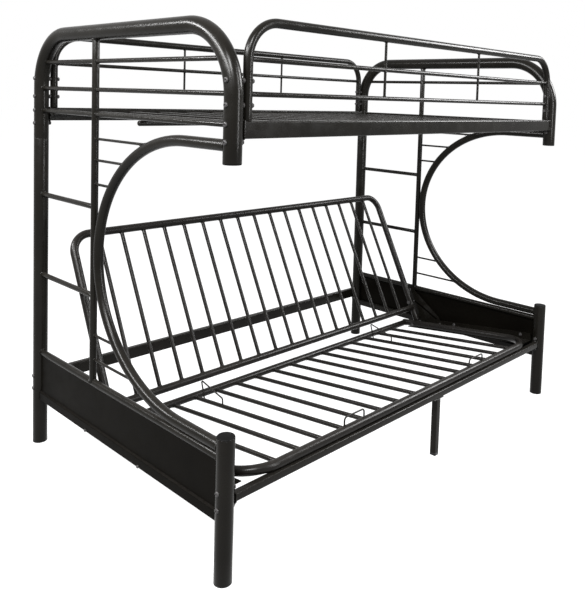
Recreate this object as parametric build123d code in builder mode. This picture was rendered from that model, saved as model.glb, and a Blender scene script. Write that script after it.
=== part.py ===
from build123d import *
import os
from math import atan2, cos, degrees, hypot, radians, sin, sqrt

os.makedirs("parts", exist_ok=True)

# Overall frame, measured between the axes of the corner posts
frame_length = 1956
frame_depth = 1174

# Corner posts and end bows, 2 inch tube; a rise is a height above the foot of the bows
post_outer = 50.8
post_wall = 1.5
bow_foot_height = 1222
bow_rise = 396
bow_front_bend = 270
bow_rear_bend = 185
front_post_height = 427
foot_flange = 4
cap_dome = 5
spigot_reach = 46
spigot_wall = 2
plug_depth = 18
fit_gap = 0.05
seat_gap = 0.3

# C tubes and mid posts of the end frames
c_outer = 31.75
c_wall = 1.2
c_top_drop = 45
c_bottom_drop = 26
c_sweep_depth = 500
mid_outer = 25.4
mid_wall = 1.2
mid_from_rear = 421

# Rods of the end frames
guard_rod_outer = 12.7
end_rail_outer = 15.9
rung_outer = 19.05
thin_rod_outer = 9.5
end_guard_rises = (296, 200)
end_rail_rise = 108
rung_heights = (1003, 684)
thin_rods_below_c_top = (26, 101, 186)
thin_rods_above_c_bottom = (141, 52)

# End panels
panel_tube_outer = 25.4
panel_tube_drop = 72
panel_rail_width = 25.4
panel_rail_height = 38
panel_rail_foot = 165
panel_wall = 1.2
panel_crease = 9
panel_screw_setbacks = (394, 741)

# Side rails, lower and upper
rail_depth = 25.4
rail_wall = 1.5
upper_rail_height = 50.8
upper_rail_rise = 94
lower_rear_height = 50.8
lower_rear_centre = 258.6
lower_front_height = 44
front_rail_top = 260
rail_plate = 3
rail_plate_width = 38
rail_plate_height = 78
rail_plate_drop = 10
rail_bolt_spacing = 50

# Upper deck
deck_slat_count = 13
deck_slat_width = 25.4
deck_slat_thick = 12.7
deck_slat_inset = 90
deck_ledge_width = 20
deck_ledge_thick = 2
deck_bar_outer = 25.4
deck_bar_inset = 165

# Guard rails of the upper bunk
guard_outer = 28.6
guard_wall = 1.2
guard_inset = 52
guard_top_rise = 403
guard_bend_radius = 112
guard_stile_spacing = 610
guard_bolt_rises = (232, 163)

# Futon seat deck
seat_outer = 25.4
cross_outer = 25
seat_half_width = 898
seat_front_setback = 1167
seat_rear_setback = 433
seat_slope = 7
seat_bend_radius = 68
slat_outer = 15.9
seat_slat_count = 15
seat_slat_spacing = 106.7

# Futon back deck
back_half_width = 926
back_top_setback = 150
back_top_height = 850
back_bottom_setback = 449
back_bottom_height = 268
back_bend_radius = 74
back_rod_count = 17
back_rod_spacing = 101.6
seat_travel = 218

# Pins, bolts, guide plates and tracks
bolt_shank = 8
bolt_head = 16
bolt_head_rise = 4.5
bolt_clearance = 0.2
nut_across = 13
nut_height = 6.5
pin_outer = 10
pin_clearance = 0.05
pin_head = 18
pin_head_rise = 4
washer_outer = 22
track_thick = 2.5
track_web_height = 35.5
track_rear_setback = 452
track_front_setback = 1138
guide_reach = 120
eye_radius = 11
eye_thick = 10
eye_rise = 18
guide_plate_thick = 3
guide_margin = 12.5
guide_station_count = 9
guide_bolt_setback = 405
track_rivet_setbacks = (480, 612)
track_bolt_setbacks = (700, 1084)
track_bolt_rise = 8

# Wire retainers and centre leg
wire_outer = 6
retainer_width = 104
retainer_rise = 32
retainer_bend = 12
front_retainer_offset = 400
rear_retainer_slat_count = 5
rear_retainer_feet = (560, 676)
rear_retainer_peak = (690, 78)
rear_retainer_front = 30
leg_outer = 25.4
leg_wall = 1.5
leg_offset = 97
leg_foot_height = 10
leg_plate_width = 70
panel_screw_head = 11
panel_screw_rise = 3
overrun = 2

half_length = frame_length / 2
rear_y = frame_depth / 2
front_y = -frame_depth / 2
mid_y = rear_y - mid_from_rear
post_radius = post_outer / 2
bow_crown_height = bow_foot_height + bow_rise
upper_rail_centre = bow_foot_height + upper_rail_rise
c_top_height = upper_rail_centre - c_top_drop
c_bottom_height = front_post_height - c_bottom_drop
panel_tube_height = front_post_height - panel_tube_drop
end_guard_heights = [bow_foot_height + rise for rise in end_guard_rises]
end_rail_height = bow_foot_height + end_rail_rise
guard_top_height = bow_foot_height + guard_top_rise
guard_bolt_heights = [bow_foot_height + rise for rise in guard_bolt_rises]
thin_rod_heights = [c_top_height - drop for drop in thin_rods_below_c_top]
thin_rod_heights += [c_bottom_height + rise for rise in thin_rods_above_c_bottom]
front_rail_centre = front_rail_top - lower_front_height / 2
sides = (("left", -1), ("right", 1))


def write_piece(piece, name):
    """Label a finished piece and write its STEP file."""
    piece.part.label = name
    export_step(piece.part, f"parts/{name}.step")


def bow_line(x):
    """Centre line of an end bow, from front foot over the crown to rear foot."""
    with BuildLine(Plane.YZ.offset(x)) as path:
        FilletPolyline(
            (front_y, bow_foot_height),
            (front_y, bow_crown_height),
            (rear_y, bow_crown_height),
            (rear_y, bow_foot_height),
            radius=(bow_front_bend, bow_rear_bend),
        )
    return path.line


def c_line(x):
    """Centre line of a C tube: two short straights joined by half an ellipse."""
    with BuildLine(Plane.YZ.offset(x)) as path:
        Line((front_y, c_bottom_height), (c_centre_y, c_bottom_height))
        EllipticalCenterArc(
            (c_centre_y, c_centre_height), c_sweep_depth, c_half_height, start_angle=-90, arc_size=180
        )
        Line((c_centre_y, c_top_height), (front_y, c_top_height))
    return path.line


c_rear_y = mid_y - (mid_outer + c_outer) / 2 - fit_gap
c_centre_y = c_rear_y - c_sweep_depth
c_centre_height = (c_top_height + c_bottom_height) / 2
c_half_height = (c_top_height - c_bottom_height) / 2
crown_underside = bow_crown_height - post_radius
upper_plate_centre = upper_rail_centre - rail_plate_drop
lower_rear_plate_centre = lower_rear_centre - rail_plate_drop
lower_front_plate_centre = front_rail_centre + rail_plate_drop + rail_plate
plate_half_spacing = rail_bolt_spacing / 2
plate_outer_x = half_length - post_radius - fit_gap
post_gap_radius = post_radius + fit_gap
bolt_hole_radius = bolt_shank / 2 + bolt_clearance

upper_bolt_heights = [upper_plate_centre + s * plate_half_spacing for s in (-1, 1)]
lower_rear_bolt_heights = [lower_rear_plate_centre + s * plate_half_spacing for s in (-1, 1)]
lower_front_bolt_heights = [lower_front_plate_centre + s * plate_half_spacing for s in (-1, 1)]

# End frames, one at each end of the bed
for side, turn in sides:
    x = turn * half_length

    with BuildPart() as end_bow:
        crown = bow_line(x)
        with BuildSketch(Plane(origin=crown @ 0, z_dir=crown % 0)):
            Circle(post_radius)
            Circle(post_radius - post_wall, mode=Mode.SUBTRACT)
        sweep(path=crown)
        for y in (front_y, rear_y):
            for z in upper_bolt_heights + guard_bolt_heights:
                with Locations((x, y, z)):
                    Cylinder(
                        bolt_hole_radius,
                        post_outer + overrun,
                        rotation=(0, 90, 0),
                        mode=Mode.SUBTRACT,
                    )
    write_piece(end_bow, f"end_bow_{side}")

    with BuildPart() as rear_post:
        with BuildSketch(Plane.XY.offset(foot_flange)):
            with Locations((x, rear_y)):
                Circle(post_radius)
                Circle(post_radius - post_wall, mode=Mode.SUBTRACT)
        extrude(amount=bow_foot_height - foot_flange)
        for z in lower_rear_bolt_heights:
            with Locations((x, rear_y, z)):
                Cylinder(bolt_hole_radius, post_outer + overrun, rotation=(0, 90, 0), mode=Mode.SUBTRACT)
    write_piece(rear_post, f"rear_post_{side}")

    with BuildPart() as front_post:
        with BuildSketch(Plane.XY.offset(foot_flange)):
            with Locations((x, front_y)):
                Circle(post_radius)
                Circle(post_radius - post_wall, mode=Mode.SUBTRACT)
        extrude(amount=front_post_height - foot_flange)
        for z in lower_front_bolt_heights:
            with Locations((x, front_y, z)):
                Cylinder(bolt_hole_radius, post_outer + overrun, rotation=(0, 90, 0), mode=Mode.SUBTRACT)
    write_piece(front_post, f"front_post_{side}")

    with BuildPart() as c_tube:
        curve = c_line(x)
        with BuildSketch(Plane(origin=curve @ 0, z_dir=curve % 0)):
            Circle(c_outer / 2)
            Circle(c_outer / 2 - c_wall, mode=Mode.SUBTRACT)
        sweep(path=curve)
        with BuildSketch(Plane.XY):
            with Locations((x, front_y)):
                Circle(post_gap_radius)
        extrude(amount=bow_crown_height, mode=Mode.SUBTRACT)
    write_piece(c_tube, f"c_tube_{side}")

    with BuildPart() as mid_post:
        with BuildSketch(Plane.XY.offset(panel_tube_height)):
            with Locations((x, mid_y)):
                Circle(mid_outer / 2)
                Circle(mid_outer / 2 - mid_wall, mode=Mode.SUBTRACT)
        extrude(amount=bow_crown_height - panel_tube_height)
        for z, radius in ((panel_tube_height, panel_tube_outer / 2), (bow_crown_height, post_radius)):
            with Locations((x, mid_y, z)):
                Cylinder(radius + fit_gap, post_outer, rotation=(90, 0, 0), mode=Mode.SUBTRACT)
    write_piece(mid_post, f"mid_post_{side}")

    with BuildPart() as end_rods:
        for z, outer in (
            (end_guard_heights[0], guard_rod_outer),
            (end_guard_heights[1], guard_rod_outer),
            (end_rail_height, end_rail_outer),
        ):
            with BuildSketch(Plane.XZ.offset(-rear_y)):
                with Locations((x, z)):
                    Circle(outer / 2)
            extrude(amount=frame_depth)
        with BuildSketch(Plane.XY.offset(bow_foot_height)):
            with Locations((x, mid_y)):
                Circle(mid_outer / 2 + fit_gap)
        extrude(amount=bow_crown_height - bow_foot_height, mode=Mode.SUBTRACT)
        with BuildSketch(Plane(origin=crown @ 0, z_dir=crown % 0)):
            Circle(post_gap_radius)
        sweep(path=crown, mode=Mode.SUBTRACT)
    write_piece(end_rods, f"end_guard_rods_{side}")

    with BuildPart() as rungs:
        for z in rung_heights:
            with BuildSketch(Plane.XZ.offset(-rear_y)):
                with Locations((x, z)):
                    Circle(rung_outer / 2)
            extrude(amount=mid_from_rear)
        for y, radius in ((mid_y, mid_outer / 2 + fit_gap), (rear_y, post_gap_radius)):
            with BuildSketch(Plane.XY):
                with Locations((x, y)):
                    Circle(radius)
            extrude(amount=bow_foot_height, mode=Mode.SUBTRACT)
    write_piece(rungs, f"ladder_rungs_{side}")

    with BuildPart() as thin_rods:
        for z in thin_rod_heights:
            rise_share = (z - c_centre_height) / c_half_height
            reach_y = c_centre_y + c_sweep_depth * sqrt(1 - rise_share**2)
            with BuildSketch(Plane.XZ.offset(-mid_y)):
                with Locations((x, z)):
                    Circle(thin_rod_outer / 2)
            extrude(amount=mid_y - reach_y)
        with BuildSketch(Plane.XY):
            with Locations((x, mid_y)):
                Circle(mid_outer / 2 + fit_gap)
        extrude(amount=bow_crown_height, mode=Mode.SUBTRACT)
        with BuildSketch(Plane(origin=curve @ 0, z_dir=curve % 0)):
            Circle(c_outer / 2 + fit_gap)
        sweep(path=curve, mode=Mode.SUBTRACT)
    write_piece(thin_rods, f"thin_rods_{side}")

    with BuildPart() as panel_frame:
        with BuildSketch(Plane.XZ.offset(-rear_y)):
            with Locations((x, panel_tube_height)):
                Circle(panel_tube_outer / 2)
                Circle(panel_tube_outer / 2 - panel_wall, mode=Mode.SUBTRACT)
            with Locations((x, panel_rail_foot + panel_rail_height / 2)):
                Rectangle(panel_rail_width, panel_rail_height)
                Rectangle(
                    panel_rail_width - 2 * panel_wall, panel_rail_height - 2 * panel_wall, mode=Mode.SUBTRACT
                )
        extrude(amount=frame_depth)
        for y in (front_y, rear_y):
            with BuildSketch(Plane.XY):
                with Locations((x, y)):
                    Circle(post_gap_radius)
            extrude(amount=bow_foot_height, mode=Mode.SUBTRACT)
    write_piece(panel_frame, f"end_panel_rails_{side}")

    with BuildPart() as end_panel:
        band_x = x + turn * (panel_rail_width + panel_wall) / 2
        rail_top = panel_rail_foot + panel_rail_height
        sheet_top = panel_tube_height - panel_tube_outer / 2 - fit_gap
        with BuildSketch(Plane.XZ.offset(-rear_y)):
            with BuildLine() as fold:
                Polyline(
                    (band_x, panel_rail_foot),
                    (band_x, rail_top + panel_wall),
                    (x, rail_top + panel_wall + panel_crease),
                    (x, sheet_top),
                )
            trace(line_width=panel_wall)
        extrude(amount=frame_depth)
        for y in (front_y, rear_y):
            with BuildSketch(Plane.XY):
                with Locations((x, y)):
                    Circle(post_gap_radius)
            extrude(amount=bow_foot_height, mode=Mode.SUBTRACT)
    write_piece(end_panel, f"end_panel_{side}")

# Fittings shared by both end frames
with BuildPart() as foot_caps:
    for x in (-half_length, half_length):
        for y in (front_y, rear_y):
            with BuildSketch(Plane.XY):
                with Locations((x, y)):
                    Circle(post_radius)
            extrude(amount=foot_flange)
            with BuildSketch(Plane.XY.offset(foot_flange)):
                with Locations((x, y)):
                    Circle(post_radius - post_wall - fit_gap)
            extrude(amount=plug_depth)
write_piece(foot_caps, "foot_caps")

with BuildPart() as post_caps:
    for x in (-half_length, half_length):
        for z, turn in ((front_post_height, 1), (bow_foot_height, -1)):
            with BuildSketch(Plane(origin=(x, front_y, z), z_dir=(0, 0, turn))):
                Circle(post_radius)
            extrude(amount=cap_dome, taper=30)
            with BuildSketch(Plane(origin=(x, front_y, z), z_dir=(0, 0, -turn))):
                Circle(post_radius - post_wall - fit_gap)
            extrude(amount=plug_depth)
write_piece(post_caps, "post_caps")

with BuildPart() as post_spigots:
    for x in (-half_length, half_length):
        with BuildSketch(Plane.XY.offset(bow_foot_height - spigot_reach)):
            with Locations((x, rear_y)):
                Circle(post_radius - post_wall - fit_gap)
                Circle(post_radius - post_wall - fit_gap - spigot_wall, mode=Mode.SUBTRACT)
        extrude(amount=2 * spigot_reach)
write_piece(post_spigots, "post_spigots")

# Side rails between the end frames, each with a bolt plate welded on both ends
rail_reach = plate_outer_x - rail_plate
for name, y, centre, height, plate_centre in (
    ("upper_front_rail", front_y, upper_rail_centre, upper_rail_height, upper_plate_centre),
    ("upper_rear_rail", rear_y, upper_rail_centre, upper_rail_height, upper_plate_centre),
    ("lower_rear_rail", rear_y, lower_rear_centre, lower_rear_height, lower_rear_plate_centre),
    ("lower_front_rail", front_y, front_rail_centre, lower_front_height, lower_front_plate_centre),
):
    with BuildPart() as side_rail:
        with BuildSketch(Plane.YZ.offset(-rail_reach)):
            with Locations((y, centre)):
                RectangleRounded(rail_depth, height, rail_depth / 4)
                RectangleRounded(
                    rail_depth - 2 * rail_wall,
                    height - 2 * rail_wall,
                    rail_depth / 4 - rail_wall,
                    mode=Mode.SUBTRACT,
                )
        extrude(amount=2 * rail_reach)
        for plate_x in (-plate_outer_x, rail_reach):
            with BuildSketch(Plane.YZ.offset(plate_x)):
                with Locations((y, plate_centre)):
                    RectangleRounded(rail_plate_width, rail_plate_height, rail_plate)
                for s in (-1, 1):
                    with Locations((y, plate_centre + s * plate_half_spacing)):
                        Circle(bolt_hole_radius, mode=Mode.SUBTRACT)
            extrude(amount=rail_plate)
    write_piece(side_rail, name)


def bolt_row(places, grip):
    """Button head bolts along X through a post, each with its nut at the far end of the grip."""
    with BuildPart() as row:
        for turn, y, z in places:
            head_x = turn * (half_length + post_radius)
            nut_x = head_x - turn * grip
            with BuildSketch(Plane(origin=(head_x, y, z), z_dir=(turn, 0, 0))):
                Circle(bolt_head / 2)
            extrude(amount=bolt_head_rise, taper=25)
            with BuildSketch(Plane(origin=(head_x, y, z), z_dir=(-turn, 0, 0))):
                Circle(bolt_shank / 2)
            extrude(amount=grip + nut_height)
            with BuildSketch(Plane(origin=(nut_x, y, z), z_dir=(-turn, 0, 0))):
                RegularPolygon(nut_across / 2, 6, major_radius=False)
            extrude(amount=nut_height)
    return row


rail_grip = half_length + post_radius - rail_reach
guard_grip = post_radius + guard_inset + guard_outer / 2
upper_places = [(s, y, z) for s in (-1, 1) for y in (front_y, rear_y) for z in upper_bolt_heights]
lower_places = [(s, rear_y, z) for s in (-1, 1) for z in lower_rear_bolt_heights]
lower_places += [(s, front_y, z) for s in (-1, 1) for z in lower_front_bolt_heights]
guard_places = [(s, y, z) for s in (-1, 1) for y in (front_y, rear_y) for z in guard_bolt_heights]

upper_rail_bolts = bolt_row(upper_places, rail_grip)
write_piece(upper_rail_bolts, "upper_rail_bolts")
lower_rail_bolts = bolt_row(lower_places, rail_grip)
write_piece(lower_rail_bolts, "lower_rail_bolts")
guard_bolts = bolt_row(guard_places, guard_grip)
write_piece(guard_bolts, "guard_bolts")

# Spacer sleeves between the bow legs and the guard legs
with BuildPart() as guard_spacers:
    sleeve_start = half_length - post_radius - fit_gap
    sleeve_end = half_length - guard_inset + guard_outer / 2 + fit_gap
    for turn, y, z in guard_places:
        with BuildSketch(Plane(origin=(turn * sleeve_start, y, z), z_dir=(-turn, 0, 0))):
            Circle(bolt_head / 2)
            Circle(bolt_hole_radius, mode=Mode.SUBTRACT)
        extrude(amount=sleeve_start - sleeve_end)
write_piece(guard_spacers, "guard_spacers")

# Guard rails along the upper bunk, front and rear
guard_x = half_length - guard_inset
guard_foot = upper_rail_centre + upper_rail_height / 2 + seat_gap
for name, y in (("front", front_y), ("rear", rear_y)):
    with BuildPart() as guard_hoop:
        with BuildLine(Plane.XZ.offset(-y)) as hoop:
            FilletPolyline(
                (-guard_x, guard_foot),
                (-guard_x, guard_top_height),
                (guard_x, guard_top_height),
                (guard_x, guard_foot),
                radius=guard_bend_radius,
            )
        with BuildSketch(Plane(origin=hoop.line @ 0, z_dir=hoop.line % 0)):
            Circle(guard_outer / 2)
            Circle(guard_outer / 2 - guard_wall, mode=Mode.SUBTRACT)
        sweep(path=hoop.line)
        for z in guard_bolt_heights:
            for turn in (-1, 1):
                with Locations((turn * guard_x, y, z)):
                    Cylinder(
                        bolt_hole_radius,
                        guard_outer + overrun,
                        rotation=(0, 90, 0),
                        mode=Mode.SUBTRACT,
                    )
    write_piece(guard_hoop, f"{name}_guard_hoop")

    with BuildPart() as guard_rods:
        for z in end_guard_heights:
            with BuildSketch(Plane.YZ.offset(-guard_x)):
                with Locations((y, z)):
                    Circle(guard_rod_outer / 2)
            extrude(amount=2 * guard_x)
        for x in (-guard_stile_spacing / 2, guard_stile_spacing / 2):
            with BuildSketch(Plane.XY.offset(end_guard_heights[1])):
                with Locations((x, y)):
                    Circle(thin_rod_outer / 2)
            extrude(amount=guard_top_height - end_guard_heights[1])
        with BuildSketch(Plane(origin=hoop.line @ 0, z_dir=hoop.line % 0)):
            Circle(guard_outer / 2 + fit_gap)
        sweep(path=hoop.line, mode=Mode.SUBTRACT)
    write_piece(guard_rods, f"{name}_guard_rods")

# Upper deck: ledges inside the side rails, cross slats and a bar under them
deck_half_depth = frame_depth / 2 - rail_depth / 2
with BuildPart() as deck_ledges:
    for turn in (-1, 1):
        ledge_y = turn * (deck_half_depth - deck_ledge_width / 2)
        with BuildSketch(Plane.YZ.offset(-rail_reach)):
            with Locations((ledge_y, upper_rail_centre - deck_ledge_thick / 2)):
                Rectangle(deck_ledge_width, deck_ledge_thick)
        extrude(amount=2 * rail_reach)
write_piece(deck_ledges, "upper_deck_ledges")

slat_pitch = 2 * (half_length - deck_slat_inset) / (deck_slat_count - 1)
with BuildPart() as deck_slats:
    with BuildSketch(Plane.XZ.offset(-deck_half_depth + seat_gap)):
        with Locations((0, upper_rail_centre + deck_slat_thick / 2)):
            with GridLocations(slat_pitch, 0, deck_slat_count, 1):
                RectangleRounded(deck_slat_width, deck_slat_thick, deck_slat_thick / 4)
    extrude(amount=2 * (deck_half_depth - seat_gap))
write_piece(deck_slats, "upper_deck_slats")

with BuildPart() as deck_bar:
    bar_half = half_length - deck_bar_inset
    with BuildSketch(Plane.YZ.offset(-bar_half)):
        with Locations((0, upper_rail_centre - deck_bar_outer / 2)):
            Circle(deck_bar_outer / 2)
    extrude(amount=2 * bar_half)
    fillet(deck_bar.edges().filter_by(GeomType.CIRCLE), deck_bar_outer / 3)
write_piece(deck_bar, "upper_deck_bar")

# Futon geometry: the seat plane slopes to the rear, the back leans over its rear end
slope = radians(seat_slope)
seat_radius = seat_outer / 2
rail_edge_y = front_y + rail_depth / 2
seat_front_y = rear_y - seat_front_setback
seat_axis_height = front_rail_top + seat_gap + seat_radius / cos(slope)
seat_front_z = seat_axis_height - (seat_front_y - rail_edge_y) * sin(slope) / cos(slope)
seat_plane = Plane(origin=(0, seat_front_y, seat_front_z), x_dir=(1, 0, 0), z_dir=(0, sin(slope), cos(slope)))
seat_depth = (seat_front_setback - seat_rear_setback) / cos(slope)

back_top_y = rear_y - back_top_setback
back_bottom_y = rear_y - back_bottom_setback
back_run = back_top_y - back_bottom_y
back_rise = back_top_height - back_bottom_height
back_length = hypot(back_run, back_rise)
back_lean = atan2(back_rise, back_run)
fall = sin(slope) / cos(slope)
hinge_share = (back_bottom_height - seat_front_z + (back_bottom_y - seat_front_y) * fall) / (
    back_rise + back_run * fall
)
hinge_y = back_bottom_y - hinge_share * back_run
hinge_z = back_bottom_height - hinge_share * back_rise
back_plane = Plane(
    origin=(0, hinge_y, hinge_z), x_dir=(1, 0, 0), z_dir=(0, -sin(back_lean), cos(back_lean))
)
back_bottom_reach = hinge_share * back_length
back_top_reach = back_bottom_reach + back_length

# Flat position: the seat has slid forward and the back lies on the lower rear rail
flat_hinge_y = hinge_y - seat_travel * cos(slope)
flat_hinge_z = hinge_z + seat_travel * sin(slope)
rear_rail_top = lower_rear_centre + lower_rear_height / 2
rest_height = rear_rail_top + seat_gap + seat_radius
flat_lean = atan2(rest_height - flat_hinge_z, rear_y - rail_depth / 2 - flat_hinge_y)
back_swing = back_lean - flat_lean
print("hinge axis", round(hinge_y, 3), round(hinge_z, 3), "seat slope", seat_slope, "travel", seat_travel)
print("back lean", round(degrees(back_lean), 3), "swing", round(degrees(back_swing), 3))

with BuildPart() as seat_frame:
    with BuildLine(seat_plane) as seat_u:
        FilletPolyline(
            (-seat_half_width, seat_depth + seat_radius),
            (-seat_half_width, 0),
            (seat_half_width, 0),
            (seat_half_width, seat_depth + seat_radius),
            radius=seat_bend_radius,
        )
    with BuildSketch(Plane(origin=seat_u.line @ 0, z_dir=seat_u.line % 0)):
        Circle(seat_radius)
    sweep(path=seat_u.line)
    seat_rear = seat_plane.from_local_coords((0, seat_depth, 0))
    with BuildSketch(Plane.YZ.offset(-seat_half_width)):
        with Locations((seat_rear.Y, seat_rear.Z)):
            Circle(cross_outer / 2)
    extrude(amount=2 * seat_half_width)
    for turn in (-1, 1):
        with Locations((turn * seat_half_width, hinge_y, hinge_z)):
            Cylinder(
                pin_outer / 2 + pin_clearance,
                seat_outer + overrun,
                rotation=(0, 90, 0),
                mode=Mode.SUBTRACT,
            )
write_piece(seat_frame, "seat_frame")

with BuildPart() as seat_slats:
    slat_start = Plane(origin=seat_plane.origin, x_dir=(1, 0, 0), z_dir=seat_plane.y_dir)
    with BuildSketch(slat_start):
        with GridLocations(seat_slat_spacing, 0, seat_slat_count, 1):
            Circle(slat_outer / 2)
    extrude(amount=seat_depth)
    for end, radius in ((seat_plane.origin, seat_radius), (seat_rear, cross_outer / 2)):
        with BuildSketch(Plane.YZ.offset(-seat_half_width)):
            with Locations((end.Y, end.Z)):
                Circle(radius + fit_gap)
        extrude(amount=2 * seat_half_width, mode=Mode.SUBTRACT)
write_piece(seat_slats, "seat_slats")

with BuildPart() as back_frame:
    with BuildLine(back_plane) as back_u:
        FilletPolyline(
            (-back_half_width, eye_rise),
            (-back_half_width, back_top_reach),
            (back_half_width, back_top_reach),
            (back_half_width, eye_rise),
            radius=back_bend_radius,
        )
    with BuildSketch(Plane(origin=back_u.line @ 0, z_dir=back_u.line % 0)):
        Circle(seat_radius)
    sweep(path=back_u.line)
    with BuildSketch(Plane.YZ.offset(-back_half_width)):
        with Locations((back_bottom_y, back_bottom_height)):
            Circle(cross_outer / 2)
    extrude(amount=2 * back_half_width)
    for turn in (-1, 1):
        guide = back_plane.from_local_coords((turn * back_half_width, guide_reach, 0))
        eye_top = back_plane.from_local_coords((0, 2 * eye_rise, 0))
        with BuildSketch(Plane.YZ.offset(turn * back_half_width - eye_thick / 2)):
            with Locations((hinge_y, hinge_z)):
                Circle(eye_radius)
            with BuildLine():
                Line((hinge_y, hinge_z), (eye_top.Y, eye_top.Z))
            trace(line_width=2 * eye_radius)
        extrude(amount=eye_thick)
        for eye in ((turn * back_half_width, hinge_y, hinge_z), guide):
            with Locations(eye):
                Cylinder(
                    pin_outer / 2 + pin_clearance,
                    seat_outer + overrun,
                    rotation=(0, 90, 0),
                    mode=Mode.SUBTRACT,
                )
write_piece(back_frame, "back_frame")

with BuildPart() as back_rods:
    rod_start = back_plane.from_local_coords((0, back_bottom_reach, 0))
    with BuildSketch(Plane(origin=rod_start, x_dir=(1, 0, 0), z_dir=back_plane.y_dir)):
        with GridLocations(back_rod_spacing, 0, back_rod_count, 1):
            Circle(slat_outer / 2)
    extrude(amount=back_length)
    for reach, radius in ((back_bottom_reach, cross_outer / 2), (back_top_reach, seat_radius)):
        end = back_plane.from_local_coords((0, reach, 0))
        with BuildSketch(Plane.YZ.offset(-back_half_width)):
            with Locations((end.Y, end.Z)):
                Circle(radius + fit_gap)
        extrude(amount=2 * back_half_width, mode=Mode.SUBTRACT)
write_piece(back_rods, "back_rods")


def cross_pin(start_x, end_x, y, z, turn):
    """A headed pin along X, its head at the start and its shank running to the end."""
    with BuildPart() as pin:
        with BuildSketch(Plane(origin=(turn * start_x, y, z), z_dir=(-turn, 0, 0))):
            Circle(pin_head / 2)
        extrude(amount=pin_head_rise)
        with BuildSketch(Plane(origin=(turn * start_x, y, z), z_dir=(turn, 0, 0))):
            Circle(pin_outer / 2)
        extrude(amount=end_x - start_x)
    return pin


# Hinge pins, guide pins and spacer washers, in pairs
seat_inner_x = seat_half_width - seat_radius
seat_outer_x = seat_half_width + seat_radius
back_inner_x = back_half_width - seat_radius
back_outer_x = back_half_width + seat_radius
eye_inner_x = back_half_width - eye_thick / 2
web_outer_x = half_length - panel_rail_width / 2
web_inner_x = web_outer_x - track_thick
plate_inner_x = web_inner_x - guide_plate_thick
guide_point = back_plane.from_local_coords((0, guide_reach, 0))

for side, turn in sides:
    hinge_pin = cross_pin(seat_inner_x - fit_gap, back_outer_x + pin_head_rise, hinge_y, hinge_z, turn)
    write_piece(hinge_pin, f"hinge_pin_{side}")
    guide_end = web_inner_x - fit_gap
    guide_pin = cross_pin(back_inner_x - fit_gap, guide_end, guide_point.Y, guide_point.Z, turn)
    write_piece(guide_pin, f"guide_pin_{side}")

with BuildPart() as hinge_washers:
    for turn in (-1, 1):
        start = (turn * (seat_outer_x + fit_gap), hinge_y, hinge_z)
        with BuildSketch(Plane(origin=start, z_dir=(turn, 0, 0))):
            Circle(washer_outer / 2)
            Circle(pin_outer / 2 + pin_clearance, mode=Mode.SUBTRACT)
        extrude(amount=eye_inner_x - seat_outer_x - 2 * fit_gap)
write_piece(hinge_washers, "hinge_washers")

# Sloping tracks that carry the seat, and guide plates that turn the back as the seat slides
track_drop = seat_radius + seat_gap + track_thick


def seat_point(setback, rise):
    """Point beside the seat at a distance from the rear posts and a height above its tubes' axis."""
    along = (seat_front_setback - setback) / cos(slope)
    return seat_plane.from_local_coords((0, along, rise))


def guide_point_at(share):
    """Guide pin's place when the seat has made a share of its travel."""
    lean = back_lean - share * back_swing
    y = hinge_y - share * seat_travel * cos(slope) + guide_reach * cos(lean)
    z = hinge_z + share * seat_travel * sin(slope) + guide_reach * sin(lean)
    return (y, z)


slot_points = [guide_point_at(station / (guide_station_count - 1)) for station in range(guide_station_count)]
slot_width = pin_outer + 2 * seat_gap
rivet_points = [seat_point(setback, 0) for setback in track_rivet_setbacks]
bolt_points = [seat_point(setback, track_bolt_rise) for setback in track_bolt_setbacks]
top_bolt = (rear_y - guide_bolt_setback, panel_tube_height)

for side, turn in sides:
    track_rear = seat_point(track_rear_setback, 0)
    with BuildPart() as track:
        with BuildSketch(Plane(origin=track_rear, x_dir=(1, 0, 0), z_dir=-seat_plane.y_dir)):
            web_x = turn * (web_inner_x + track_thick / 2)
            with Locations((web_x, track_web_height / 2 - track_drop)):
                Rectangle(track_thick, track_web_height)
            flange_width = web_outer_x - seat_inner_x
            with Locations((turn * (web_outer_x - flange_width / 2), track_thick / 2 - track_drop)):
                Rectangle(flange_width, track_thick)
        extrude(amount=(track_front_setback - track_rear_setback) / cos(slope))
        with BuildSketch(Plane.YZ.offset(min(turn * web_inner_x, turn * web_outer_x) - overrun)):
            for point in rivet_points + bolt_points:
                with Locations((point.Y, point.Z)):
                    Circle(bolt_hole_radius)
        extrude(amount=track_thick + 2 * overrun, mode=Mode.SUBTRACT)
    write_piece(track, f"seat_track_{side}")

    with BuildPart() as guide_plate:
        with BuildSketch(Plane.YZ.offset(min(turn * plate_inner_x, turn * web_inner_x))):
            with Locations(slot_points[0], slot_points[-1], top_bolt):
                Circle(guide_margin + slot_width / 2)
            for point in rivet_points:
                with Locations((point.Y, point.Z)):
                    Circle(guide_margin)
            make_hull()
            with BuildLine():
                Spline(*slot_points)
            trace(line_width=slot_width, mode=Mode.SUBTRACT)
            with Locations(slot_points[0], slot_points[-1]):
                Circle(slot_width / 2, mode=Mode.SUBTRACT)
            for point in rivet_points:
                with Locations((point.Y, point.Z)):
                    Circle(bolt_hole_radius, mode=Mode.SUBTRACT)
            with Locations(top_bolt):
                Circle(bolt_hole_radius, mode=Mode.SUBTRACT)
        extrude(amount=guide_plate_thick)
    write_piece(guide_plate, f"guide_plate_{side}")

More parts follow.
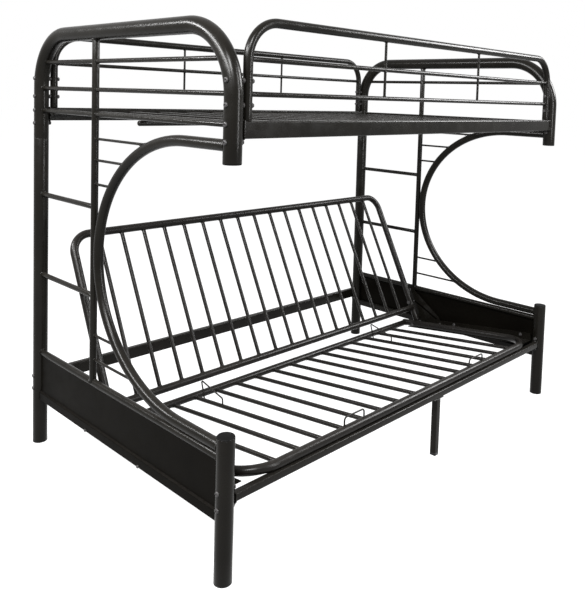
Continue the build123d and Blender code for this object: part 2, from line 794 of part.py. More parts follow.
with BuildPart() as track_bolts:
    for turn in (-1, 1):
        fixings = [(point.Y, point.Z, plate_inner_x, web_outer_x) for point in rivet_points]
        fixings += [(point.Y, point.Z, web_inner_x, half_length - panel_wall / 2) for point in bolt_points]
        fixings += [(*top_bolt, plate_inner_x, web_outer_x)]
        for y, z, head_x, end_x in fixings:
            with BuildSketch(Plane(origin=(turn * head_x, y, z), z_dir=(-turn, 0, 0))):
                Circle(bolt_head / 2)
            extrude(amount=bolt_head_rise, taper=25)
            with BuildSketch(Plane(origin=(turn * head_x, y, z), z_dir=(turn, 0, 0))):
                Circle(bolt_shank / 2)
            extrude(amount=end_x - head_x - fit_gap)
write_piece(track_bolts, "track_bolts")

with BuildPart() as track_spacers:
    for turn in (-1, 1):
        sleeves = [(point.Y, point.Z, web_outer_x, half_length - panel_wall / 2) for point in bolt_points]
        sleeves += [(*top_bolt, web_inner_x, web_outer_x)]
        for y, z, start_x, end_x in sleeves:
            with BuildSketch(Plane(origin=(turn * start_x, y, z), z_dir=(turn, 0, 0))):
                Circle(bolt_head / 2)
                Circle(bolt_hole_radius, mode=Mode.SUBTRACT)
            extrude(amount=end_x - start_x - fit_gap)
write_piece(track_spacers, "track_spacers")

with BuildPart() as panel_screws:
    screw_x = half_length + panel_rail_width / 2 + panel_wall
    for turn in (-1, 1):
        for setback in panel_screw_setbacks:
            place = (turn * screw_x, rear_y - setback, panel_rail_foot + panel_rail_height / 2)
            with BuildSketch(Plane(origin=place, z_dir=(turn, 0, 0))):
                Circle(panel_screw_head / 2)
            extrude(amount=panel_screw_rise, taper=25)
write_piece(panel_screws, "panel_screws")

# Wire loops that hold the mattress, front and rear
with BuildPart() as front_retainers:
    for x in (-front_retainer_offset, front_retainer_offset):
        with BuildLine(Plane.XZ.offset(-seat_front_y)) as loop:
            FilletPolyline(
                (x - retainer_width / 2, seat_front_z + seat_radius + fit_gap),
                (x - retainer_width / 2, seat_front_z + seat_radius + retainer_rise),
                (x + retainer_width / 2, seat_front_z + seat_radius + retainer_rise),
                (x + retainer_width / 2, seat_front_z + seat_radius + fit_gap),
                radius=retainer_bend,
            )
        with BuildSketch(Plane(origin=loop.line @ 0, z_dir=loop.line % 0)):
            Circle(wire_outer / 2)
        sweep(path=loop.line)
write_piece(front_retainers, "front_mattress_retainers")

with BuildPart() as rear_retainers:
    foot_rise = slat_outer / 2 + fit_gap
    for turn in (-1, 1):
        x = turn * rear_retainer_slat_count * seat_slat_spacing
        side_plane = Plane(
            origin=(x, seat_front_y, seat_front_z), x_dir=seat_plane.y_dir, z_dir=(1, 0, 0)
        )
        with BuildLine(side_plane) as loop:
            FilletPolyline(
                (rear_retainer_feet[0], foot_rise),
                (rear_retainer_feet[0], rear_retainer_front),
                rear_retainer_peak,
                (rear_retainer_feet[1], foot_rise),
                radius=retainer_bend / 2,
            )
        with BuildSketch(Plane(origin=loop.line @ 0, z_dir=loop.line % 0)):
            Circle(wire_outer / 2)
        sweep(path=loop.line)
        with BuildSketch(slat_start):
            with Locations((x, 0)):
                Circle(slat_outer / 2 + fit_gap)
        extrude(amount=seat_depth, mode=Mode.SUBTRACT)
write_piece(rear_retainers, "rear_mattress_retainers")

# Centre leg under the front rail
rail_bottom = front_rail_top - lower_front_height
with BuildPart() as centre_leg:
    with BuildSketch(Plane.XY.offset(leg_foot_height)):
        with Locations((leg_offset, front_y)):
            Rectangle(leg_outer, leg_outer)
            Rectangle(leg_outer - 2 * leg_wall, leg_outer - 2 * leg_wall, mode=Mode.SUBTRACT)
    extrude(amount=rail_bottom - rail_plate - leg_foot_height)
    with BuildSketch(Plane.XY.offset(rail_bottom - rail_plate)):
        with Locations((leg_offset, front_y)):
            Rectangle(leg_plate_width, leg_outer)
    extrude(amount=rail_plate)
write_piece(centre_leg, "centre_leg")

with BuildPart() as leg_foot:
    with BuildSketch(Plane.XY):
        with Locations((leg_offset, front_y)):
            RectangleRounded(leg_outer, leg_outer, leg_wall)
    extrude(amount=leg_foot_height)
    with BuildSketch(Plane.XY.offset(leg_foot_height)):
        with Locations((leg_offset, front_y)):
            Rectangle(leg_outer - 2 * leg_wall - 2 * fit_gap, leg_outer - 2 * leg_wall - 2 * fit_gap)
    extrude(amount=plug_depth)
write_piece(leg_foot, "centre_leg_foot")
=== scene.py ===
import math

import bpy
import numpy as np
from mathutils import Matrix, Vector


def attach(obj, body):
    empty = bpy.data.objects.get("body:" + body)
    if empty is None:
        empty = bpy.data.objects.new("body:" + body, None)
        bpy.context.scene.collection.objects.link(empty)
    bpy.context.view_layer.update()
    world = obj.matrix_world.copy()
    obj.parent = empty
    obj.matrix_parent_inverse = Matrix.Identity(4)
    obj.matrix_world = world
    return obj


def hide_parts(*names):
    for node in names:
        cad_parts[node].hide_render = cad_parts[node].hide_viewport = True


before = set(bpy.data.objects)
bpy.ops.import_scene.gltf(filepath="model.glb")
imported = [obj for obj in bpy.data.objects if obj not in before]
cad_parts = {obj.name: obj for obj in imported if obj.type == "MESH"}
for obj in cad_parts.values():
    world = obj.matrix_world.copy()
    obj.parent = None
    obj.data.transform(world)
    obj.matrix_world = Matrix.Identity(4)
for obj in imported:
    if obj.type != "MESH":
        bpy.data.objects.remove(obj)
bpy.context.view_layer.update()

# End bows: two steel tubes 55 mm thick, each bent over the width of the upper bunk.
# The rear foot plugs on the rear post and the front foot hangs free, closed by a cap.
# All frame tubes share one semi-gloss black powder coat, baked on after welding.
ends = (("left", -1.0), ("right", 1.0))
post_x = 0.976
post_y = 0.585
post_radius = 0.0274
bow_foot_z = 1.222
bow_crown_z = 1.616
front_bend = 0.21
rear_bend = 0.19
end_round = 0.0012


def bent_path(corners, bend, arc_rows=28, run_rows=3):
    """Centre line of a bent tube. Straight runs join arcs: at a corner P with unit directions
    u in and v out, turning by angle w, the arc starts r * tan(w / 2) before P and runs
    about the centre with P(s) = start + r * (sin s * u + (1 - cos s) * n), s from 0 to w,
    where n is the unit part of v square to u. The bend radius r is one number, or one for
    each corner."""
    corners = np.asarray(corners, float)
    pieces = [corners[:1]]
    bends = np.broadcast_to(bend, (len(corners) - 2,))
    for before, here, after, r in zip(corners[:-2], corners[1:-1], corners[2:], bends):
        u = (here - before) / np.linalg.norm(here - before)
        v = (after - here) / np.linalg.norm(after - here)
        w = math.acos(float(np.clip(u @ v, -1, 1)))
        n = v - (v @ u) * u
        n /= np.linalg.norm(n)
        s = np.linspace(0, w, arc_rows)[:, None]
        start = here - u * r * math.tan(w / 2)
        pieces.append(start + r * (np.sin(s) * u + (1 - np.cos(s)) * n))
    pieces.append(corners[-1:])
    rows = [pieces[0]]
    for piece in pieces[1:]:
        share = np.linspace(0, 1, run_rows + 1)[1:-1, None]
        rows.append(rows[-1][-1] + share * (piece[0] - rows[-1][-1]))
        rows.append(piece)
    return np.concatenate(rows)


def tube_skin(path, radius, side, sides=40, round_ends=end_round):
    """Round tube along a flat path: point (i, j) = path i + r i * (cos a j * side + sin a j * up i),
    up i being side crossed with the path's direction. The last rows at both ends shrink
    by a quarter round, r = radius - round * (1 - sin b), so no end is knife sharp."""
    path = np.asarray(path, float)
    along = np.gradient(path, axis=0)
    along /= np.linalg.norm(along, axis=1)[:, None]
    b = np.linspace(0, math.pi / 2, 4)
    shrink = round_ends * (1 - np.sin(b))
    reach = round_ends * np.cos(b)
    head = path[0] + along[0] * (round_ends - reach)[:, None]
    tail = path[-1] - along[-1] * (round_ends - reach)[::-1, None]
    middle = path[1:-1]
    centre = np.concatenate([head, middle, tail])
    way = np.concatenate([np.repeat(along[:1], len(b), 0), along[1:-1], np.repeat(along[-1:], len(b), 0)])
    size = np.concatenate([radius - shrink, np.full(len(middle), radius), (radius - shrink)[::-1]])
    side = np.asarray(side, float)
    up = np.cross(way, side)
    up /= np.linalg.norm(up, axis=1)[:, None]
    a = np.linspace(0, 2 * math.pi, sides, endpoint=False)
    ring = np.cos(a)[None, :, None] * side + np.sin(a)[None, :, None] * up[:, None, :]
    return centre[:, None, :] + size[:, None, None] * ring


def capped(grid):
    """Faces of a grid whose columns wrap round: quads between rows, and a fan of triangles
    from the middle of the first and of the last row, which closes both ends."""
    rows, cols, _ = grid.shape
    i, j = np.meshgrid(np.arange(rows - 1), np.arange(cols), indexing="ij")
    k = (j + 1) % cols
    row = i * cols
    next_row = row + cols
    quads = np.stack([row + j, next_row + j, next_row + k, row + k], -1)
    spots = np.concatenate([grid.reshape(-1, 3), grid[:1].mean(1), grid[-1:].mean(1)])
    c = np.arange(cols)
    d = (c + 1) % cols
    first = np.stack([np.full(cols, rows * cols), c, d], -1)
    last_row = (rows - 1) * cols
    last = np.stack([np.full(cols, rows * cols + 1), last_row + d, last_row + c], -1)
    return spots, quads.reshape(-1, 4), np.concatenate([first, last])


def ring_faces(grids):
    """Faces of closed rings, grids of rings x rows x columns that wrap both ways."""
    count, rows, cols, _ = grids.shape
    g, i, j = np.meshgrid(np.arange(count), np.arange(rows), np.arange(cols), indexing="ij")
    row = g * rows * cols + i * cols
    next_row = g * rows * cols + (i + 1) % rows * cols
    k = (j + 1) % cols
    quads = np.stack([row + j, next_row + j, next_row + k, row + k], -1)
    return grids.reshape(-1, 3), quads.reshape(-1, 4), np.zeros((0, 3), int)


def build_piece(name, skins, body, paint, stands_for=(), sharp=40):
    """One mesh object from skins of (points, quads, triangles), shaded smooth except at
    edges sharper than the given angle. Faces are turned outwards by their signed volume."""
    spots, quads, tris, start = [], [], [], 0
    for points, four, three in skins:
        corner = points - points.mean(0)
        flow = 0.0
        for a, b, c in ((four[:, 0], four[:, 1], four[:, 2]), (four[:, 0], four[:, 2], four[:, 3]),
                        (three[:, 0], three[:, 1], three[:, 2])):
            flow += np.einsum("ij,ij->", corner[a], np.cross(corner[b], corner[c]))
        if flow < 0:
            four = four[:, ::-1]
            three = three[:, ::-1]
        spots.append(points)
        quads.append(four + start)
        tris.append(three + start)
        start += len(points)
    mesh = bpy.data.meshes.new(name)
    faces = np.concatenate(quads).tolist() + np.concatenate(tris).tolist()
    mesh.from_pydata(np.concatenate(spots).tolist(), [], faces)
    mesh.shade_smooth()
    mesh.set_sharp_from_angle(angle=math.radians(sharp))
    mesh.materials.append(paint)
    piece = bpy.data.objects.new(name, mesh)
    bpy.context.scene.collection.objects.link(piece)
    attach(piece, body)
    if stands_for:
        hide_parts(*stands_for)
    return piece


def black_coat(name, tint, gloss, peel, dust, shine=0.085):
    """Powder coat: a dark base colour drifting a little with slow noise, roughness with finer
    noise, fine bumps for the coat's orange peel, and a trace of dust where the surface faces
    up. Gloss is the mean roughness, peel the strength of the bumps, shine the reflectance."""
    cloud_scale, rub_scale, grime_scale, peel_scale = 5.0, 24.0, 60.0, 520.0
    peel_depth = 0.0004
    dark_share, light_share = 0.75, 1.3
    noise_low, noise_high = 0.3, 0.75
    smoother, rougher = 0.05, 0.09
    dust_colour = (0.20, 0.185, 0.17, 1)
    upward_from = 0.55
    paint = bpy.data.materials.new(name)
    paint.use_nodes = True
    tree = paint.node_tree
    shader = tree.nodes["Principled BSDF"]
    shader.inputs["Metallic"].default_value = 0.0
    shader.inputs["Specular IOR Level"].default_value = shine
    place = tree.nodes.new("ShaderNodeTexCoord")

    def noise(scale, detail):
        node = tree.nodes.new("ShaderNodeTexNoise")
        node.inputs["Scale"].default_value = scale
        node.inputs["Detail"].default_value = detail
        tree.links.new(place.outputs["Object"], node.inputs["Vector"])
        return node

    def spread(source, low, high, to_low, to_high):
        node = tree.nodes.new("ShaderNodeMapRange")
        node.inputs["From Min"].default_value = low
        node.inputs["From Max"].default_value = high
        node.inputs["To Min"].default_value = to_low
        node.inputs["To Max"].default_value = to_high
        tree.links.new(source, node.inputs["Value"])
        return node

    slow = noise(cloud_scale, 4.0)
    tone = tree.nodes.new("ShaderNodeValToRGB")
    tone.color_ramp.elements[0].position = noise_low
    tone.color_ramp.elements[0].color = (*[c * dark_share for c in tint], 1)
    tone.color_ramp.elements[1].position = noise_high
    tone.color_ramp.elements[1].color = (*[c * light_share for c in tint], 1)
    tree.links.new(slow.outputs["Fac"], tone.inputs["Fac"])
    facing = tree.nodes.new("ShaderNodeNewGeometry")
    split = tree.nodes.new("ShaderNodeSeparateXYZ")
    tree.links.new(facing.outputs["Normal"], split.inputs[0])
    grime = noise(grime_scale, 6.0)
    upward = spread(split.outputs["Z"], upward_from, 1.0, 0.0, dust)
    film = tree.nodes.new("ShaderNodeMath")
    film.operation = "MULTIPLY"
    tree.links.new(upward.outputs[0], film.inputs[0])
    tree.links.new(grime.outputs["Fac"], film.inputs[1])
    dusty = tree.nodes.new("ShaderNodeMix")
    dusty.data_type = "RGBA"
    dusty.inputs["B"].default_value = dust_colour
    tree.links.new(film.outputs[0], dusty.inputs["Factor"])
    tree.links.new(tone.outputs["Color"], dusty.inputs["A"])
    tree.links.new(dusty.outputs["Result"], shader.inputs["Base Color"])
    rub = noise(rub_scale, 8.0)
    rough = spread(rub.outputs["Fac"], noise_low, noise_high, gloss - smoother, gloss + rougher)
    tree.links.new(rough.outputs[0], shader.inputs["Roughness"])
    fine = noise(peel_scale, 2.0)
    bump = tree.nodes.new("ShaderNodeBump")
    bump.inputs["Strength"].default_value = peel
    bump.inputs["Distance"].default_value = peel_depth
    tree.links.new(fine.outputs["Fac"], bump.inputs["Height"])
    tree.links.new(bump.outputs["Normal"], shader.inputs["Normal"])
    return paint


frame_coat = black_coat("frame_coat", (0.0026, 0.0023, 0.0018), gloss=0.25, peel=0.14, dust=0.03)
across = (1.0, 0.0, 0.0)
bow_arc_rows = 40
post_sides = 56
for end, turn in ends:
    x = turn * post_x
    corners = [(x, -post_y, bow_foot_z), (x, -post_y, bow_crown_z),
               (x, post_y, bow_crown_z), (x, post_y, bow_foot_z)]
    bow_line = bent_path(corners, (front_bend, rear_bend), bow_arc_rows)
    skin = capped(tube_skin(bow_line, post_radius, across, post_sides))
    build_piece(f"bow_{end}", [skin], "frame", frame_coat, [f"end_bow_{end}"])

# Corner posts: straight lengths of the same tube as the bows. The rear pair carries the bows
# on inner spigots, with a hairline joint; the front pair ends well above the seat.
# Both stand on pressed-in plastic feet.
foot_lift = 0.004
front_post_z = 0.435
for end, turn in ends:
    for name, y, top in (("rear_post", post_y, bow_foot_z), ("front_post", -post_y, front_post_z)):
        line = np.linspace((turn * post_x, y, foot_lift), (turn * post_x, y, top), 6)
        skin = capped(tube_skin(line, post_radius, across, post_sides))
        build_piece(f"{name}_skin_{end}", [skin], "frame", frame_coat, [f"{name}_{end}"])

# C tubes: 35 mm steel tube bent to half an ellipse that opens each end of the lower bunk.
# It is welded to the front post below, to the bow's free foot above, and against the mid post.
c_radius = 0.01745
c_low_z = 0.401
c_high_z = 1.271
c_half_high = (c_high_z - c_low_z) / 2
c_centre_y = -0.3626
c_sweep = 0.4984
c_start_y = -0.566
c_bead = 0.003
end_x = 0.978


def weld_rings(centres, ways, tube_ways, tube_radii, rod_radius, bead=0.0021, aside=(0.0, 0.0, 0.0)):
    """Rippled weld beads where rods end on tubes, all at once. Round a rod of direction d a circle
    e(a) = cos a * s + sin a * u is drawn, then slid along d until it meets the tube's wall, which
    solves |square part of (r e + aside + m d)| = tube radius for m, where aside is how far the
    rod's axis passes the tube's. The bead is a ring about that line:
    line(a) + w(a) * (cos b * e + sin b * d), with w rippling by a sixth, nine times round."""
    centres, d, t = (np.asarray(v, float).reshape(-1, 3) for v in (centres, ways, tube_ways))
    radii = np.broadcast_to(np.asarray(tube_radii, float), (len(d),))[:, None]
    s = np.cross(t, d)
    s /= np.linalg.norm(s, axis=1)[:, None]
    u = np.cross(d, s)
    a = np.linspace(0, 2 * math.pi, 36, endpoint=False)
    b = np.linspace(0, 2 * math.pi, 8, endpoint=False)
    e = np.cos(a)[None, :, None] * s[:, None, :] + np.sin(a)[None, :, None] * u[:, None, :]
    foot = (rod_radius + 0.3 * bead) * e + np.asarray(aside, float)
    foot_flat = foot - np.einsum("jak,jk->ja", foot, t)[..., None] * t[:, None, :]
    d_flat = d - np.einsum("jk,jk->j", d, t)[:, None] * t
    dd = np.einsum("jk,jk->j", d_flat, d_flat)[:, None]
    fd = np.einsum("jak,jk->ja", foot_flat, d_flat)
    ff = np.einsum("jak,jak->ja", foot_flat, foot_flat)
    m = (-fd + np.sqrt(np.maximum(fd**2 - dd * (ff - radii**2), 0))) / dd
    line = centres[:, None, :] + foot + m[..., None] * d[:, None, :]
    phase = np.arange(len(d))[:, None] * 1.7
    width = bead * (1 + np.sin(9 * a[None, :] + phase) / 6)
    outwards = np.cos(b)[:, None] * e[:, :, None, :]
    lengthwise = np.sin(b)[:, None] * d[:, None, None, :]
    return ring_faces(line[:, :, None, :] + width[:, :, None, None] * (outwards + lengthwise))


for end, turn in ends:
    x = turn * end_x
    angle = np.radians(np.linspace(-90, 90, 97))
    curve = np.stack([
        np.full(len(angle), x),
        c_centre_y + c_sweep * np.cos(angle),
        c_low_z + c_half_high + c_half_high * np.sin(angle),
    ], -1)
    straight = np.linspace(c_start_y, c_centre_y, 8)[:-1]
    low_run = np.stack([np.full_like(straight, x), straight, np.full_like(straight, c_low_z)], -1)
    high_run = low_run[::-1] + (0, 0, c_high_z - c_low_z)
    c_line = np.concatenate([low_run, curve, high_run])
    beads = weld_rings(
        [(x, -post_y, c_low_z), (x, -post_y, c_high_z)], [(0, 1, 0)] * 2, [(0, 0, 1)] * 2,
        post_radius, c_radius, c_bead,
    )
    skin = capped(tube_skin(c_line, c_radius, across, 40))
    build_piece(f"c_curve_{end}", [skin, beads], "frame", frame_coat, [f"c_tube_{end}"])

# Mid posts: 1 inch tubes from the panel's top tube up to the bow. Each one stiffens the end
# and carries the ladder rungs, the thin rods and the middle of the C tube.
mid_y = 0.166
mid_radius = 0.0127
panel_top_z = 0.3685
mid_bead = 0.0026
seam_reach = 0.03
seam_aside = 0.0052
seam_behind = 0.0162
for end, turn in ends:
    x = turn * end_x
    line = np.linspace((x, mid_y, panel_top_z), (x, mid_y, bow_crown_z), 6)
    crown_bead = weld_rings([(x, mid_y, bow_crown_z)], [(0, 0, -1)], [(0, 1, 0)], post_radius,
                            mid_radius, mid_bead)
    foot_bead = weld_rings([(x, mid_y, panel_top_z)], [(0, 0, 1)], [(0, 1, 0)], mid_radius,
                           mid_radius, mid_bead)
    seam_rise = np.linspace(-seam_reach, seam_reach, 40)
    seam_y = c_centre_y + c_sweep * np.sqrt(1 - (seam_rise / c_half_high) ** 2) + seam_behind
    seam_z = c_low_z + c_half_high + seam_rise
    seams = []
    for side in (-1, 1):
        seam = np.stack([np.full_like(seam_y, x + side * seam_aside), seam_y, seam_z], -1)
        seams.append(capped(tube_skin(seam, mid_bead, across, 10)))
    skin = capped(tube_skin(line, mid_radius, across, 36))
    build_piece(f"mid_post_skin_{end}", [skin, crown_bead, foot_bead, *seams], "frame", frame_coat,
                [f"mid_post_{end}"])

# Rods of the end frames: two guard rods and an end rail across each bow, two ladder rungs
# between mid and rear post, and five thin rods between mid post and C tube.
# Every rod is cut to length and welded round at both ends.
guard_rod_radius = 0.0077
guard_heights = (1.516, 1.417)
end_rail_radius = 0.00795
end_rail_z = 1.33
rung_radius = 0.009525
rung_heights = (1.003, 0.684)
thin_radius = 0.00475
thin_heights = (1.245, 1.17, 1.085, 0.542, 0.453)
small_bead = 0.0017
thin_bead = 0.0016
for end, turn in ends:
    x = turn * end_x
    rod_skins = []
    for z, radius in ((guard_heights[0], guard_rod_radius), (guard_heights[1], guard_rod_radius),
                      (end_rail_z, end_rail_radius)):
        drop = bow_crown_z - z
        lean_front, lean_rear = (math.asin(max(0.0, 1 - drop / b)) for b in (front_bend, rear_bend))
        y_front = front_bend * (1 - math.cos(lean_front)) - post_y
        y_rear = post_y - rear_bend * (1 - math.cos(lean_rear))
        line = np.linspace((x, y_front, z), (x, y_rear, z), 8)
        rod_skins.append(capped(tube_skin(line, radius, across, 24)))
        rod_skins.append(weld_rings(
            [(x, y_front, z), (x, y_rear, z)], [(0, 1, 0), (0, -1, 0)],
            [(0, math.sin(lean_front), math.cos(lean_front)),
             (0, -math.sin(lean_rear), math.cos(lean_rear))],
            post_radius, radius,
        ))
        rod_skins.append(weld_rings(
            [(x, mid_y, z)] * 2, [(0, 1, 0), (0, -1, 0)], [(0, 0, 1)] * 2, mid_radius, radius,
            small_bead,
        ))
    build_piece(f"guard_rods_{end}", rod_skins, "frame", frame_coat,
                [f"end_guard_rods_{end}"])

    rung_skins = []
    for z in rung_heights:
        rung = np.linspace((x, mid_y, z), (x, post_y, z), 6)
        rung_skins.append(capped(tube_skin(rung, rung_radius, across, 28)))
        rung_skins.append(weld_rings(
            [(x, mid_y, z), (x, post_y, z)], [(0, 1, 0), (0, -1, 0)], [(0, 0, 1)] * 2,
            (mid_radius, post_radius), rung_radius,
        ))
    build_piece(f"rungs_{end}", rung_skins, "frame", frame_coat, [f"ladder_rungs_{end}"])

    thin_skins = []
    for z in thin_heights:
        share = (z - c_low_z) / c_half_high - 1
        depth_share = math.sqrt(1 - share**2)
        c_wall_y = c_centre_y + c_sweep * depth_share
        slope_way = np.array([0, -c_sweep * share, c_half_high * depth_share])
        slope_way /= np.linalg.norm(slope_way)
        rod = np.linspace((x, c_wall_y, z), (x, mid_y, z), 5)
        thin_skins.append(capped(tube_skin(rod, thin_radius, across, 18)))
        thin_skins.append(weld_rings(
            [(x, c_wall_y, z), (x, mid_y, z)], [(0, 1, 0), (0, -1, 0)], [slope_way, (0, 0, 1)],
            (c_radius, mid_radius), thin_radius, thin_bead,
        ))
    build_piece(f"thin_rods_skin_{end}", thin_skins, "frame", frame_coat,
                [f"thin_rods_{end}"])

# End panels: a folded steel sheet hung between the posts, stiffened by a tube along its top
# and a box rail along its foot. One long crease runs down to a band that two screws hold
# on the rail.
panel_rail_foot = 0.182
panel_rail_high = 0.028
panel_rail_half = 0.0127
sheet_half = 0.0006
panel_reach = 0.563
rail_corner = 0.0025
fold_radius = 0.003
band_over = 0.0012
crease_rise = 0.0046
sheet_proud = 0.006
sheet_tuck = 0.0105
# The sheet's tint, darker than the frame coat's, is painted shade for the dimmer light that falls on the
# panel.
sheet_painted_shade_coat = black_coat("sheet_painted_shade_coat", (0.0014, 0.0012, 0.0009), gloss=0.34, peel=0.30, dust=0.02,
                        shine=0.012)


def round_box(width, height, corner, arc=6):
    """Closed outline of a rounded rectangle: each quarter is corner centre + r * (cos t, sin t)."""
    t = np.linspace(0, math.pi / 2, arc)
    quarter = np.stack([np.cos(t), np.sin(t)], -1) * corner
    w, h = width / 2 - corner, height / 2 - corner
    turns = [(1, 1, 0), (-1, 1, 1), (-1, -1, 2), (1, -1, 3)]
    outline = []
    for sx, sy, k in turns:
        c, s = math.cos(k * math.pi / 2), math.sin(k * math.pi / 2)
        outline.append(quarter @ np.array([[c, s], [-s, c]]) + (sx * w, sy * h))
    return np.concatenate(outline)


def bar_skin(outline, start, way, side, length, edge=0.0006, rows=6):
    """Straight bar: outline (p, q) carried along way from start, as start + s * way + p * side
    + q * (way x side). It shrinks by edge at both ends, so the cut edges are broken."""
    way, side = np.asarray(way, float), np.asarray(side, float)
    up = np.cross(way, side)
    span = np.abs(outline).max(0)
    s = np.concatenate([[0, edge], np.linspace(edge, length - edge, rows)[1:-1], [length - edge, length]])
    shrink = np.zeros(len(s))
    shrink[[0, -1]] = edge
    scale = 1 - shrink[:, None, None] / span
    flat = outline[None] * scale
    centre = np.asarray(start, float) + s[:, None] * way
    return capped(centre[:, None, :] + flat[..., :1] * side + flat[..., 1:] * up)


def sheet_skin(line, half, start_y, end_y, rows=24):
    """Bent sheet along Y: the line (x, z) is offset by +half and -half along its own normals,
    both sides joined to one loop; the loop is carried from start to end and closed by strips."""
    way = np.gradient(line, axis=0)
    way /= np.linalg.norm(way, axis=1)[:, None]
    normal = np.stack([-way[:, 1], way[:, 0]], -1) * half
    loop = np.concatenate([line + normal, (line - normal)[::-1]])
    y = np.linspace(start_y, end_y, rows)
    grid = np.empty((rows, len(loop), 3))
    grid[..., 0] = loop[None, :, 0]
    grid[..., 1] = y[:, None]
    grid[..., 2] = loop[None, :, 1]
    cols = len(loop)
    i, j = np.meshgrid(np.arange(rows - 1), np.arange(cols), indexing="ij")
    k = (j + 1) % cols
    row = i * cols
    next_row = row + cols
    quads = np.stack([row + j, next_row + j, next_row + k, row + k], -1).reshape(-1, 4)
    n = np.arange(len(line) - 1)
    strip = np.stack([n, n + 1, cols - 2 - n, cols - 1 - n], -1)
    far_strip = strip[:, ::-1] + (rows - 1) * cols
    return grid.reshape(-1, 3), np.concatenate([quads, strip, far_strip]), np.zeros((0, 3), int)


for end, turn in ends:
    x = turn * end_x
    top_line = np.linspace((x, -panel_reach, panel_top_z), (x, panel_reach, panel_top_z), 12)
    top = capped(tube_skin(top_line, mid_radius, across, 36))
    rail_start = (x, -panel_reach, panel_rail_foot + panel_rail_high / 2)
    rail = bar_skin(round_box(2 * panel_rail_half, panel_rail_high, rail_corner), rail_start,
                    (0, 1, 0), across, 2 * panel_reach)
    beads = weld_rings([(x, -post_y, panel_top_z), (x, post_y, panel_top_z)], [(0, 1, 0), (0, -1, 0)],
                       [(0, 0, 1)] * 2, post_radius, mid_radius, mid_bead)
    build_piece(f"panel_rails_{end}", [top, rail, beads], "frame", frame_coat,
                [f"end_panel_rails_{end}"])
    band_x = turn * (end_x + panel_rail_half + sheet_half)
    sheet_x = turn * (end_x + sheet_proud)
    rail_top = panel_rail_foot + panel_rail_high
    folds = np.array([
        (band_x, panel_rail_foot), (band_x, rail_top + band_over),
        (sheet_x, rail_top + crease_rise), (sheet_x, panel_top_z - sheet_tuck),
    ])
    flat = np.insert(folds, 1, 0, axis=1)
    line = np.concatenate([
        bent_path(flat[:3], fold_radius, arc_rows=8, run_rows=6)[:-1],
        bent_path(flat[1:], fold_radius, arc_rows=8, run_rows=6)[6:],
    ])
    keep = np.concatenate([[True], np.linalg.norm(np.diff(line, axis=0), axis=1) > 1e-5])
    sheet = sheet_skin(line[keep][:, [0, 2]], sheet_half, -panel_reach, panel_reach)
    build_piece(f"panel_sheet_{end}", [sheet], "frame", sheet_painted_shade_coat, [f"end_panel_{end}"],
                sharp=30)

# Plastic feet and flat caps: round black mouldings pushed into the tube ends. The feet
# carry the four posts; the caps close the short front posts and the bows' free feet.
moulded = black_coat("moulded_plastic", (0.008, 0.008, 0.008), gloss=0.30, peel=0.10, dust=0.06)
cap_plastic = black_coat("cap_plastic", (0.0012, 0.0012, 0.0012), gloss=0.55, peel=0.10, dust=0.0,
                         shine=0.05)


def turned(heights, radii, start, way, cols=40):
    """Solid of revolution: row i is a circle of radius r i about start + h i * way. A radius
    may be one number or one per column, for a socket or other shape that isn't round."""
    way = np.asarray(way, float)
    first = np.cross(way, (0.0, 0.0, 1.0) if abs(way[2]) < 0.9 else (0.0, 1.0, 0.0))
    first /= np.linalg.norm(first)
    second = np.cross(way, first)
    a = np.linspace(0, 2 * math.pi, cols, endpoint=False)
    ring = np.cos(a)[:, None] * first + np.sin(a)[:, None] * second
    size = np.stack([np.broadcast_to(r, (cols,)) for r in radii])
    rows = np.asarray(start, float) + np.asarray(heights)[:, None] * way
    return capped(rows[:, None, :] + size[..., None] * ring[None])


post_wall = 0.0018
bore_radius = post_radius - post_wall
foot_edge = 0.0016
foot_plug_top = 0.02
feet = [
    turned([0, foot_edge / 2, foot_lift, foot_lift, foot_plug_top],
           [post_radius - foot_edge, post_radius, post_radius, bore_radius, bore_radius],
           (turn * post_x, y, 0), (0, 0, 1), post_sides)
    for _, turn in ends for y in (-post_y, post_y)
]
build_piece("feet", feet, "frame", moulded, ["foot_caps"])
cap_inset = 0.0002
cap_radius = post_radius - cap_inset
cap_plug = 0.017
cap_high = 0.0037
cap_wall_high = 0.0015
cap_edge = 0.0014
cap_dish = 0.0003
cap_heights = [-cap_plug, 0, 0, cap_wall_high, cap_high - cap_dish, cap_high]
cap_radii = [bore_radius, bore_radius, cap_radius, cap_radius, cap_radius - cap_edge,
             cap_radius - 2 * cap_edge]
flat_caps = [
    turned(cap_heights, cap_radii, (turn * post_x, -post_y, z), (0, 0, way), post_sides)
    for _, turn in ends for z, way in ((front_post_z, 1), (bow_foot_z, -1))
]
build_piece("flat_caps", flat_caps, "frame", cap_plastic, ["post_caps"])

# Side rails: rectangular tubes between the end frames, two above and two below. A plate is
# welded across each end and two bolts pull it against the post. The lower front rail is half
# as high as the others.
rail_end = 0.9456
rail_wide = 0.0254
rail_high = 0.0508
rail_y = 0.587
rail_rounding = 0.0052
plate_thick = 0.003
plate_high = 0.066
plate_wide = 0.016
plate_rounding = 0.004
rail_bead = 0.0022
bead_spread = 0.0015
bead_rounding = 0.0065
upper_rail_z = 1.316
upper_plate_z = 1.306
lower_rear_z = 0.2586
rear_plate_z = 0.2486
lower_front_z = 0.247
lower_front_high = 0.026
front_plate_z = 0.251
rails = (
    ("upper_front_rail", -rail_y, upper_rail_z, rail_high, upper_plate_z),
    ("upper_rear_rail", rail_y, upper_rail_z, rail_high, upper_plate_z),
    ("lower_rear_rail", rail_y, lower_rear_z, rail_high, rear_plate_z),
    ("lower_front_rail", -rail_y, lower_front_z, lower_front_high, front_plate_z),
)
